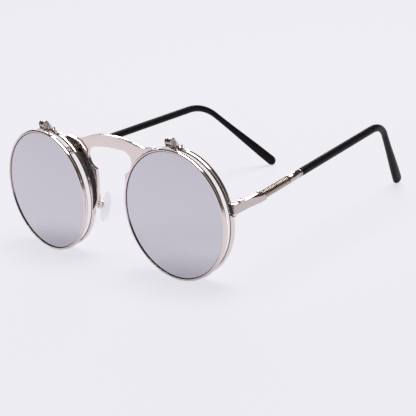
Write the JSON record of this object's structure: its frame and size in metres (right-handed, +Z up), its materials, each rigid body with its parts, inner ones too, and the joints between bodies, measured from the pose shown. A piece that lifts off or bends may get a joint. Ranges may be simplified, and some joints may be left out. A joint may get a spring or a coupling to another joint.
{
  "type": "flip up sunglasses",
  "caption": "Round metal sunglasses with mirror lenses that flip up off clear ones, a polished plate bridge, spring temples and black sleeves that hook behind the ears.",
  "frame": {"origin": "centre of the bounding box's bottom face, on the surface that the rims and the temple tips rest on", "axes": "X to the wearer's left, Y from the lenses towards the temple tips, Z up"},
  "size_m": [0.1274, 0.1386, 0.0534],
  "materials": {
    "polished_metal": "polished, faintly rosy silver",
    "screw_metal": "satin",
    "spring_steel": "bright drawn wire",
    "mirror_lens": "silver mirror coat with a lilac cast",
    "clear_lens": "clear, polished",
    "black_sleeve": "black, soft gloss",
    "clear_pad": "clear soft silicone"
  },
  "bodies": {
    "front": {"bridge_plate": "polished_metal", "end_piece_left": "polished_metal", "end_piece_right": "polished_metal", "flip_hinge_base_left": "polished_metal", "flip_hinge_base_right": "polished_metal", "flip_hinge_screw_left": "screw_metal", "flip_hinge_screw_right": "screw_metal", "pad_arm_left": "polished_metal", "pad_arm_right": "polished_metal", "pad_screw_left": "screw_metal", "pad_screw_right": "screw_metal", "rear_lens_left": "clear_lens", "rear_lens_right": "clear_lens", "rear_rim_left": "polished_metal", "rear_rim_right": "polished_metal", "rim_lock_screw_left": "screw_metal", "rim_lock_screw_right": "screw_metal", "stop_peg_left": "screw_metal", "stop_peg_right": "screw_metal", "temple_screw_left": "screw_metal", "temple_screw_right": "screw_metal"},
    "flip_left": {"flip_rim_left": "polished_metal", "flip_tab_left": "polished_metal", "mirror_lens_left": "mirror_lens"},
    "flip_right": {"flip_rim_right": "polished_metal", "flip_tab_right": "polished_metal", "mirror_lens_right": "mirror_lens"},
    "temple_left": {"temple_blade_left": "polished_metal", "temple_core_left": "spring_steel", "temple_ferrule_left": "polished_metal", "temple_sleeve_left": "black_sleeve", "temple_spring_left": "spring_steel"},
    "temple_right": {"temple_blade_right": "polished_metal", "temple_core_right": "spring_steel", "temple_ferrule_right": "polished_metal", "temple_sleeve_right": "black_sleeve", "temple_spring_right": "spring_steel"},
    "pad_left": {"nose_pad_left": "clear_pad"},
    "pad_right": {"nose_pad_right": "clear_pad"}
  },
  "joints": [
    {"name": "flip_left", "type": "hinge", "parent": "front", "child": "flip_left", "pos_m": [0.03691, -0.06592, 0.0519], "axis": [-0.9994, -0.0349, 0], "range_deg": [0, 95]},
    {"name": "flip_right", "type": "hinge", "parent": "front", "child": "flip_right", "pos_m": [-0.03461, -0.066, 0.0519], "axis": [-0.9994, 0.0349, 0], "range_deg": [0, 95]},
    {"name": "fold_left", "type": "hinge", "parent": "front", "child": "temple_left", "pos_m": [0.06103, -0.05792, 0.02965], "axis": [0, 0, 1], "range_deg": [0, 80]},
    {"name": "fold_right", "type": "hinge", "parent": "front", "child": "temple_right", "pos_m": [-0.06103, -0.05792, 0.02965], "axis": [0, 0, -1], "range_deg": [0, 58]},
    {"name": "pad_rock_left", "type": "hinge", "parent": "front", "child": "pad_left", "pos_m": [0.01161, -0.06123, 0.02031], "axis": [0.4226, 0.9063, 0], "range_deg": [-10, 10]},
    {"name": "pad_rock_right", "type": "hinge", "parent": "front", "child": "pad_right", "pos_m": [-0.01161, -0.06123, 0.02031], "axis": [-0.4226, 0.9063, 0], "range_deg": [-10, 10]}
  ]
}
